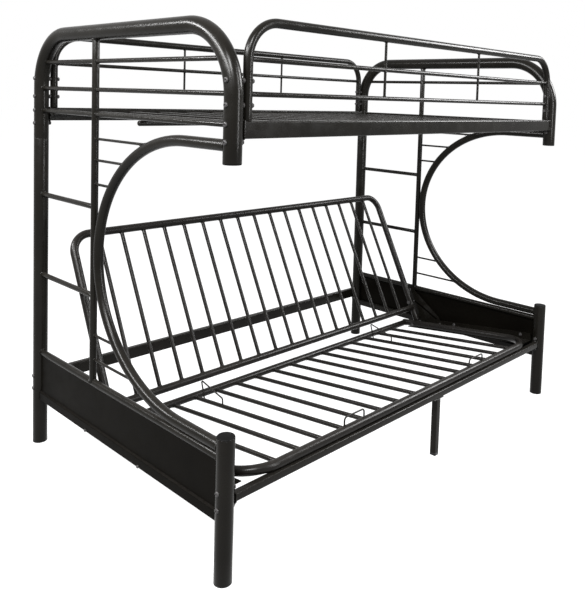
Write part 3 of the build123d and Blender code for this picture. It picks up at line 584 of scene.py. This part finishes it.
for name, y, z, high, plate_z in rails:
    tube = bar_skin(round_box(high, rail_wide, rail_rounding, arc=8), (-rail_end, y, z), (1, 0, 0),
                    (0, 0, 1), 2 * rail_end, edge=0.0004, rows=20)
    plate_outline = round_box(plate_high, plate_wide, plate_rounding, arc=8)
    plates = [
        bar_skin(plate_outline, (px, y, plate_z), (1, 0, 0), (0, 0, 1), plate_thick, edge=0.0005, rows=3)
        for px in (-rail_end - plate_thick, rail_end)
    ]
    outline = round_box(high + 2 * bead_spread, rail_wide + 2 * bead_spread, bead_rounding, arc=8)
    ripple = np.linspace(0, 2 * math.pi, 8, endpoint=False)
    beads = []
    for px, way in ((-rail_end, 1), (rail_end, -1)):
        loop = np.stack([np.full(len(outline), px), y + outline[:, 1], z + outline[:, 0]], -1)
        outward = np.stack([np.zeros(len(outline)), outline[:, 1], outline[:, 0]], -1)
        outward /= np.linalg.norm(outward, axis=1)[:, None]
        wave = rail_bead * (1 + np.sin(np.arange(len(outline)) * 2.4) / 7)
        ring = np.cos(ripple)[:, None] * outward[:, None, :]
        ring = ring + np.sin(ripple)[:, None] * np.array([way, 0, 0])
        beads.append(ring_faces((loop[:, None, :] + wave[:, None, None] * ring)[None]))
    build_piece(f"{name}_skin", [tube, *plates, *beads], "frame", frame_coat, [name])

# Bolts: button heads with a hexagon socket on the outer side of the posts, blackened like
# the tubes, and plain nuts inside. Two hold each rail end, two hold each end of a guard.
# The fittings' base colour, lighter than the tubes', is partly the blackened steel's own tone and partly
# painted highlight for the glints on the bolt heads.
fastener_black_painted_highlight = black_coat("fastener_black_painted_highlight", (0.022, 0.021, 0.021), gloss=0.26, peel=0.05, dust=0.04)
head_radius = 0.008
head_top_radius = 0.0042
head_rise = 0.0045
head_rim = 0.0006
head_sunk = 0.0002
head_lip = 0.0003
socket_half = 0.0025
socket_deep = 0.0025
socket_lead = 0.0001
shank_radius = 0.0039
shank_end_radius = 0.0032
shank_out = 0.0068
shank_bevel = 0.0008
nut_half = 0.0065
nut_high = 0.0064
nut_bevel = 0.0009
nut_seat = 0.0003
nut_seat_inset = 0.0001
nut_corner_cut = 0.0071
nut_top_inset = 0.0004
bolt_x = post_x + post_radius


def bolt_skins(place, way, grip):
    """Button head, shank and nut. The head's rows are circles whose radius falls as the cosine
    of the rise, then a socket whose radius is flat / cos of the angle from the nearest flat."""
    cols = 36
    a = np.linspace(0, 2 * math.pi, cols, endpoint=False)
    corner = np.cos((a + math.pi / 6) % (math.pi / 3) - math.pi / 6)
    t = np.linspace(0, 1, 7)
    crown = head_rim + (head_rise - head_rim) * np.sin(t * math.pi / 2)[1:]
    heights = np.concatenate([[-head_sunk, head_rim], crown,
                              [head_rise - head_lip, head_rise - head_lip - socket_deep]])
    shoulder = head_radius - head_top_radius
    radii = [head_radius] * 2 + [head_top_radius + shoulder * math.cos(v * math.pi / 2) for v in t[1:]]
    radii += [(socket_half + socket_lead) / corner, socket_half / corner]
    place = np.asarray(place, float)
    way = np.asarray(way, float)
    head = turned(heights, radii, place, way, cols)
    shank_long = grip + shank_out
    shank = turned([0, shank_long - shank_bevel, shank_long],
                   [shank_radius, shank_radius, shank_end_radius], place, -way, cols=20)
    flats = nut_half / corner
    chamfer = np.minimum(flats, nut_corner_cut) - nut_top_inset
    nut = turned([0, nut_seat, nut_high - nut_bevel, nut_high],
                 [nut_half - nut_seat_inset, flats, flats, chamfer], place - way * grip, -way, cols)
    return [head, shank, nut]


rail_grip = bolt_x - rail_end
pair_drops = (-0.025, 0.025)
upper_spots = [(t, y, upper_plate_z + d) for _, t in ends for y in (-post_y, post_y) for d in pair_drops]
lower_spots = [(t, post_y, rear_plate_z + d) for _, t in ends for d in pair_drops]
lower_spots += [(t, -post_y, front_plate_z + d) for _, t in ends for d in pair_drops]
guard_bolt_heights = (1.454, 1.385)
guard_spots = [(t, y, z) for _, t in ends for y in (-post_y, post_y) for z in guard_bolt_heights]
guard_x = 0.926
guard_radius = 0.0143
guard_grip = bolt_x - guard_x + guard_radius
for name, spots, grip, stands in (("rail_bolts_high", upper_spots, rail_grip, "upper_rail_bolts"),
                                  ("rail_bolts_low", lower_spots, rail_grip, "lower_rail_bolts"),
                                  ("guard_bolts_skin", guard_spots, guard_grip, "guard_bolts")):
    skins = [skin for t, y, z in spots for skin in bolt_skins((t * bolt_x, y, z), (t, 0, 0), grip)]
    build_piece(name, skins, "frame", fastener_black_painted_highlight, [stands])

# Guard rails of the upper bunk: a hoop of 1 1/8 inch tube along each long side with two
# rods and two short stiles welded in. Sleeves on the bolts keep it clear of the bows.
hoop_top_z = 1.625
hoop_foot_z = 1.3417
hoop_bend = 0.112
stile_x = 0.305
crossing_bead = 0.0015
along_y = (0.0, 1.0, 0.0)
for name, y in (("front", -post_y), ("rear", post_y)):
    hoop = bent_path([(-guard_x, y, hoop_foot_z), (-guard_x, y, hoop_top_z), (guard_x, y, hoop_top_z),
                      (guard_x, y, hoop_foot_z)], hoop_bend, arc_rows=32, run_rows=8)
    hoop_skin = capped(tube_skin(hoop, guard_radius, along_y, 40))
    build_piece(f"{name}_hoop", [hoop_skin], "frame", frame_coat, [f"{name}_guard_hoop"])
    inner = []
    for z in guard_heights:
        rod = np.linspace((-guard_x, y, z), (guard_x, y, z), 24)
        inner.append(capped(tube_skin(rod, guard_rod_radius, along_y, 22)))
        inner.append(weld_rings([(-guard_x, y, z), (guard_x, y, z)], [(1, 0, 0), (-1, 0, 0)],
                                [(0, 0, 1)] * 2, guard_radius, guard_rod_radius))
    for sx in (-stile_x, stile_x):
        stile = np.linspace((sx, y, guard_heights[1]), (sx, y, hoop_top_z), 6)
        inner.append(capped(tube_skin(stile, thin_radius, along_y, 18)))
        inner.append(weld_rings([(sx, y, hoop_top_z)], [(0, 0, -1)], [(1, 0, 0)], guard_radius,
                                thin_radius, small_bead))
        inner.append(weld_rings([(sx, y, guard_heights[0])] * 2 + [(sx, y, guard_heights[1])],
                                [(0, 0, 1), (0, 0, -1), (0, 0, 1)], [(1, 0, 0)] * 3, guard_rod_radius,
                                thin_radius, crossing_bead))
    build_piece(f"{name}_guard_rods_skin", inner, "frame", frame_coat,
                [f"{name}_guard_rods"])
sleeve_gap = 0.0001
sleeve_x = post_x - post_radius - sleeve_gap
sleeve_long = 0.0082
sleeve_radius = 0.008
sleeve_edge = 0.0006
sleeves = [
    turned([0, sleeve_edge, sleeve_long - sleeve_edge, sleeve_long],
           [sleeve_radius - sleeve_edge, sleeve_radius, sleeve_radius, sleeve_radius - sleeve_edge],
           (t * sleeve_x, y, z), (-t, 0, 0), cols=32)
    for t, y, z in guard_spots
]
build_piece("guard_sleeves", sleeves, "frame", fastener_black_painted_highlight, ["guard_spacers"])

# Upper deck: flat tubes with rounded edges lie as slats across the ledges welded inside the
# side rails, over one long bar. They carry the upper mattress and have a duller black coat.
deck_coat = black_coat("deck_coat", (0.0036, 0.0032, 0.0028), gloss=0.27, peel=0.16, dust=0.04)
slat_low_z = 1.316
slat_count = 13
slat_wide = 0.0254
slat_high = 0.0127
slat_rounding = 0.0042
slat_half = 0.574
last_slat_x = 0.888
slat_outline = round_box(slat_wide, slat_high, slat_rounding, arc=7)
slat_skins = [
    bar_skin(slat_outline, (sx, -slat_half, slat_low_z + slat_high / 2), (0, 1, 0), (1, 0, 0),
             2 * slat_half, edge=0.0005, rows=12)
    for sx in np.linspace(-last_slat_x, last_slat_x, slat_count)
]
build_piece("upper_slats", slat_skins, "frame", deck_coat, ["upper_deck_slats"])
bar_half = 0.91
bar_radius = 0.0095
bar_end_round = 0.004
bar_z = slat_low_z - bar_radius
bar_line = np.linspace((-bar_half, 0, bar_z), (bar_half, 0, bar_z), 20)
bar = capped(tube_skin(bar_line, bar_radius, along_y, sides=32, round_ends=bar_end_round))
build_piece("upper_bar", [bar], "frame", deck_coat, ["upper_deck_bar"])

# Sofa seat: a bent 1 1/4 inch tube frame that slopes back nearly seven degrees, closed by a
# cross tube at the rear. Round slats are welded in between, just below the tubes' middles.
seat_slope = math.radians(6.72)
seat_way = np.array([0.0, math.cos(seat_slope), -math.sin(seat_slope)])
seat_front = np.array([0.0, -0.58, 0.27697])
seat_deep = 0.7391
seat_half = 0.894
seat_bend = 0.13
seat_radius = 0.015875
cross_radius = 0.0148
rod_radius = 0.00795
frame_bead = 0.0024
rod_bead = 0.0019
frame_end_round = 0.003
seat_slat_count = 15
slat_pitch = 0.1067
slat_below = 0.006
seat_up = np.cross(across, seat_way)


def framed_deck(line, flat_normal, cross_start, side_way):
    """Skins of a bent frame and of its straight cross tube, with the weld bead at both its ends."""
    cross_line = np.linspace((-cross_start[0], *cross_start[1:]), cross_start, 24)
    skins = [capped(tube_skin(line, seat_radius, flat_normal, 32, frame_end_round)),
             capped(tube_skin(cross_line, cross_radius, along_y, 32))]
    skins.append(weld_rings([(-cross_start[0], *cross_start[1:]), cross_start], [(1, 0, 0), (-1, 0, 0)],
                            [side_way] * 2, seat_radius, cross_radius, frame_bead))
    return skins


seat_rear = seat_front + seat_way * seat_deep
seat_tail = seat_rear + seat_way * seat_radius
seat_line = bent_path([
    (-seat_half, *seat_tail[1:]), (-seat_half, *seat_front[1:]),
    (seat_half, *seat_front[1:]), (seat_half, *seat_tail[1:]),
], seat_bend, arc_rows=24, run_rows=16)
seat_skins = framed_deck(seat_line, seat_up, (seat_half, *seat_rear[1:]), seat_way)
build_piece("seat_tube", seat_skins, "seat", deck_coat, ["seat_frame"])
seat_slat_x = (np.arange(seat_slat_count) - seat_slat_count // 2) * slat_pitch
slat_drop = -slat_below * seat_up
slat_front = seat_front + slat_drop
slat_rear = seat_rear + slat_drop
slat_skins = [
    capped(tube_skin(np.linspace((sx, *slat_front[1:]), (sx, *slat_rear[1:]), 12), rod_radius, across, 24))
    for sx in seat_slat_x
]
for tube_axis, way, tube_radius in ((seat_front, seat_way, seat_radius),
                                    (seat_rear, -seat_way, cross_radius)):
    slat_skins.append(weld_rings([(sx, *tube_axis[1:]) for sx in seat_slat_x], [way] * seat_slat_count,
                                 [across] * seat_slat_count, tube_radius, rod_radius, rod_bead, slat_drop))
build_piece("seat_slats_skin", slat_skins, "seat", deck_coat, ["seat_slats"])

# Sofa back: a second bent frame with upright rods, hung on the seat's rear corners by flat
# eyes and leaning back. Its lower cross tube sits just above the seat.
back_low = np.array([0.0, 0.135, 0.2715])
back_high = np.array([0.0, 0.4345, 0.852])
back_way = (back_high - back_low) / np.linalg.norm(back_high - back_low)
hinge = np.array([0.0, 0.098197, 0.190523])
back_half = 0.928
back_bend = 0.074
back_rod_count = 17
back_rod_pitch = 0.1016
eye_long, eye_wide, eye_thick = 0.047, 0.022, 0.01
eye_above_hinge = 0.0125
tube_above_hinge = 0.018
back_foot = hinge + back_way * tube_above_hinge
back_up = np.cross(across, back_way)
back_line = bent_path([
    (-back_half, *back_foot[1:]), (-back_half, *back_high[1:]),
    (back_half, *back_high[1:]), (back_half, *back_foot[1:]),
], back_bend, arc_rows=24, run_rows=16)
back_skins = framed_deck(back_line, back_up, (back_half, *back_low[1:]), back_way)
eye_rounding = eye_wide / 2 - 0.0001
eye_outline = round_box(eye_long, eye_wide, eye_rounding, arc=10)
for _, turn in ends:
    eye_start = hinge + back_way * eye_above_hinge + np.array([turn * back_half - eye_thick / 2, 0, 0])
    back_skins.append(bar_skin(eye_outline, eye_start, across, back_way, eye_thick, edge=0.0008, rows=3))
build_piece("back_tube", back_skins, "back", deck_coat, ["back_frame"])
back_rod_x = (np.arange(back_rod_count) - back_rod_count // 2) * back_rod_pitch
rod_skins = [
    capped(tube_skin(np.linspace((sx, *back_low[1:]), (sx, *back_high[1:]), 12), rod_radius, across, 24))
    for sx in back_rod_x
]
for tube_axis, way, tube_radius in ((back_low, back_way, cross_radius),
                                    (back_high, -back_way, seat_radius)):
    rod_skins.append(weld_rings([(sx, *tube_axis[1:]) for sx in back_rod_x], [way] * back_rod_count,
                                [across] * back_rod_count, tube_radius, rod_radius, rod_bead))
build_piece("back_rods_skin", rod_skins, "back", deck_coat, ["back_rods"])

# Hinge and guide pins: headed steel pins. The hinge pins join seat and back through a
# washer; the guide pins stick out of the back's sides into the slots of the guide plates.
guide_arm = 0.12
guide = hinge + back_way * guide_arm
pin_radius = 0.005
pin_bevel = 0.0008
pin_head_radius = 0.009
pin_head_high = 0.004
pin_head_edge = 0.0006
head_top_inset, head_foot_inset = 0.0015, 0.0006
hinge_pin_from, hinge_pin_to = 0.877, 0.9479
guide_pin_from, guide_pin_to = 0.9115, 0.96275
for end, turn in ends:
    for name, body, centre, from_x, to_x in (
        ("hinge_pin", "seat", hinge, hinge_pin_from, hinge_pin_to),
        ("guide_pin", "back", guide, guide_pin_from, guide_pin_to),
    ):
        length = to_x - from_x
        skin = turned([-pin_head_high, pin_head_edge - pin_head_high, -pin_head_edge, 0,
                       0, length - pin_bevel, length],
                      [pin_head_radius - head_top_inset, pin_head_radius, pin_head_radius,
                       pin_head_radius - head_foot_inset, pin_radius, pin_radius, pin_radius - pin_bevel],
                      (turn * from_x, *centre[1:]), (turn, 0, 0), cols=36)
        build_piece(f"{name}_skin_{end}", [skin], body, fastener_black_painted_highlight, [f"{name}_{end}"])

# Mattress retainers: loops of 6 mm wire. Two stand upright on the front tube and two lean
# over the seat's rear, so the futon can't slide off.
wire_radius = 0.003
wire_bead = 0.0015
front_loop_x = 0.4
loop_half = 0.052
loop_rise = 0.047
loop_bend = 0.012
loop_top_z = seat_front[2] + loop_rise
front_loops = []
for lx in (-front_loop_x, front_loop_x):
    left_foot = (lx - loop_half, *seat_front[1:])
    right_foot = (lx + loop_half, *seat_front[1:])
    loop = bent_path([left_foot, (*left_foot[:2], loop_top_z), (*right_foot[:2], loop_top_z), right_foot],
                     loop_bend, arc_rows=12, run_rows=4)
    front_loops.append(capped(tube_skin(loop, wire_radius, along_y, 16)))
    front_loops.append(weld_rings([left_foot, right_foot], [(0, 0, 1)] * 2, [across] * 2,
                                  seat_radius, wire_radius, wire_bead))
build_piece("front_loops", front_loops, "seat", deck_coat, ["front_mattress_retainers"])
rear_loop_x = 5 * slat_pitch
rear_loop_bend = 0.006
rear_loop_places = [(0.56, 0.004), (0.56, 0.03), (0.69, 0.078), (0.676, 0.004)]
rear_loops = []
for lx in (-rear_loop_x, rear_loop_x):
    corners = [slat_front + seat_way * out + seat_up * rise + np.array([lx, 0, 0])
               for out, rise in rear_loop_places]
    loop = bent_path(corners, rear_loop_bend, arc_rows=12, run_rows=6)
    rear_loops.append(capped(tube_skin(loop, wire_radius, across, 16)))
build_piece("rear_loops", rear_loops, "seat", deck_coat, ["rear_mattress_retainers"])

# Centre leg: a 1 inch square tube with a plate bolted up to the front rail's middle, and a
# plastic foot pushed in from below.
leg_x = 0.097
leg_wide = 0.0254
leg_foot_high = 0.01
leg_plate_long = 0.07
leg_plate_thick = 0.003
leg_plate_z = 0.231
leg_rounding = 0.0025
leg_plate_rounding = 0.003
leg_foot_rounding = 0.0028
leg_tube = bar_skin(round_box(leg_wide, leg_wide, leg_rounding), (leg_x, -rail_y, leg_foot_high),
                    (0, 0, 1), across, leg_plate_z - leg_foot_high, edge=0.0005, rows=8)
leg_plate = bar_skin(round_box(leg_plate_long, leg_wide, leg_plate_rounding), (leg_x, -rail_y, leg_plate_z),
                     (0, 0, 1), across, leg_plate_thick, edge=0.0005, rows=3)
build_piece("middle_leg", [leg_tube, leg_plate], "frame", frame_coat, ["centre_leg"])
leg_cap = bar_skin(round_box(leg_wide, leg_wide, leg_foot_rounding), (leg_x, -rail_y, 0), (0, 0, 1),
                   across, leg_foot_high, edge=0.0012, rows=4)
build_piece("middle_leg_foot", [leg_cap], "frame", moulded, ["centre_leg_foot"])

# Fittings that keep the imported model's own shape: spigots, deck ledges, seat tracks, guide
# plates, their bolts, sleeves and washers, and the panel screws. Each takes a coat here.
for name, paint in (
    ("post_spigots", frame_coat), ("upper_deck_ledges", deck_coat), ("seat_track_left", frame_coat),
    ("seat_track_right", frame_coat), ("guide_plate_left", frame_coat), ("guide_plate_right", frame_coat),
    ("track_bolts", fastener_black_painted_highlight), ("track_spacers", fastener_black_painted_highlight), ("hinge_washers", fastener_black_painted_highlight),
    ("panel_screws", fastener_black_painted_highlight),
):
    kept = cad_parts[name].data.materials
    kept.clear()
    kept.append(paint)

# Studio: floor and surround are white to the camera and in reflections, but light the bed less
# than white paper would. Four soft lights: a key high behind the camera, a fill on its right,
# a long bank beside the left end and an upright strip before the long side.
floor_reach = 40.0
floor_grey = 0.12
floor_glow = 0.946
soft_strength = 0.45


def seen_rays(tree):
    """Output that is 1 for camera, glossy and transmission rays and 0 for all others: the
    greatest of the three flags, from two nodes that each keep the greater of two."""
    path = tree.nodes.new("ShaderNodeLightPath")
    greatest = path.outputs["Is Camera Ray"]
    for flag in ("Is Glossy Ray", "Is Transmission Ray"):
        node = tree.nodes.new("ShaderNodeMath")
        node.operation = "MAXIMUM"
        tree.links.new(greatest, node.inputs[0])
        tree.links.new(path.outputs[flag], node.inputs[1])
        greatest = node.outputs[0]
    return greatest


floor_mesh = bpy.data.meshes.new("floor")
floor_corners = [(x * floor_reach, y * floor_reach, 0) for x, y in ((-1, -1), (1, -1), (1, 1), (-1, 1))]
floor_mesh.from_pydata(floor_corners, [], [(0, 1, 2, 3)])
floor = bpy.data.objects.new("floor", floor_mesh)
bpy.context.scene.collection.objects.link(floor)
floor_paint = bpy.data.materials.new("floor_paint")
floor_paint.use_nodes = True
tree = floor_paint.node_tree
tree.nodes.clear()
out = tree.nodes.new("ShaderNodeOutputMaterial")
matte = tree.nodes.new("ShaderNodeBsdfDiffuse")
matte.inputs["Color"].default_value = (floor_grey, floor_grey, floor_grey, 1)
glow = tree.nodes.new("ShaderNodeEmission")
glow.inputs["Color"].default_value = (1, 1, 1, 1)
strength = tree.nodes.new("ShaderNodeMath")
strength.operation = "MULTIPLY"
strength.inputs[1].default_value = floor_glow
tree.links.new(seen_rays(tree), strength.inputs[0])
tree.links.new(strength.outputs[0], glow.inputs["Strength"])
both = tree.nodes.new("ShaderNodeAddShader")
tree.links.new(matte.outputs[0], both.inputs[0])
tree.links.new(glow.outputs[0], both.inputs[1])
tree.links.new(both.outputs[0], out.inputs["Surface"])
floor_mesh.materials.append(floor_paint)

world = bpy.data.worlds.new("surround")
bpy.context.scene.world = world
world.use_nodes = True
sky = world.node_tree
sky.nodes.clear()
sky_out = sky.nodes.new("ShaderNodeOutputWorld")
soft = sky.nodes.new("ShaderNodeBackground")
soft.inputs["Color"].default_value = (1, 1, 1, 1)
soft.inputs["Strength"].default_value = soft_strength
white = sky.nodes.new("ShaderNodeBackground")
white.inputs["Color"].default_value = (1, 1, 1, 1)
white.inputs["Strength"].default_value = 1.0
sky_mix = sky.nodes.new("ShaderNodeMixShader")
sky.links.new(seen_rays(sky), sky_mix.inputs["Fac"])
sky.links.new(soft.outputs[0], sky_mix.inputs[1])
sky.links.new(white.outputs[0], sky_mix.inputs[2])
sky.links.new(sky_mix.outputs[0], sky_out.inputs["Surface"])

lamp_target = Vector((0, 0, 0.8))
lamps = (
    ("key", (-3.2, -3.0, 4.2), 1.3, 1.3, 500.0),
    ("fill", (3.6, -2.4, 3.0), 1.6, 1.6, 330.0),
    ("bank", (-3.1, 0.4, 2.7), 4.2, 0.4, 560.0),
    ("strip", (0.4, -3.3, 2.0), 0.3, 2.4, 170.0),
)
for name, spot, wide, high, power in lamps:
    lamp = bpy.data.lights.new(name, "AREA")
    lamp.shape = "RECTANGLE"
    lamp.size = wide
    lamp.size_y = high
    lamp.energy = power
    light = bpy.data.objects.new(name, lamp)
    bpy.context.scene.collection.objects.link(light)
    light.location = spot
    aim = lamp_target - Vector(spot)
    light.rotation_euler = aim.to_track_quat("-Z", "Y").to_euler()

# Camera: the photograph's own view, from the left front at chest height, nearly level. The
# lens is shifted, because the picture's level point lies high and right of its middle.
picture_wide, picture_high = 585, 595
level_px, level_py = 325.09, 145.45
camera_place = (-2.2309, -2.1084, 1.4124)
sensor_mm, focal_mm = 36, 42.61
yaw, pitch, roll = (math.radians(v) for v in (43.021, -3.8419, 1.8071))
look = np.array([math.cos(pitch) * math.cos(yaw), math.cos(pitch) * math.sin(yaw), math.sin(pitch)])
right = np.cross(look, (0, 0, 1))
right /= np.linalg.norm(right)
over = np.cross(right, look)
right_r = math.cos(roll) * right + math.sin(roll) * over
over_r = -math.sin(roll) * right + math.cos(roll) * over
lens = bpy.data.cameras.new("camera")
lens.sensor_fit = "AUTO"
lens.sensor_width = sensor_mm
lens.lens = focal_mm
lens.shift_x = (picture_wide / 2 - level_px) / picture_high
lens.shift_y = -(picture_high / 2 - level_py) / picture_high
camera = bpy.data.objects.new("camera", lens)
bpy.context.scene.collection.objects.link(camera)
rows = [[right_r[k], over_r[k], -look[k], camera_place[k]] for k in range(3)]
camera.matrix_world = Matrix(rows + [[0, 0, 0, 1]])
bpy.context.scene.camera = camera
bpy.context.scene.view_settings.view_transform = "Standard"
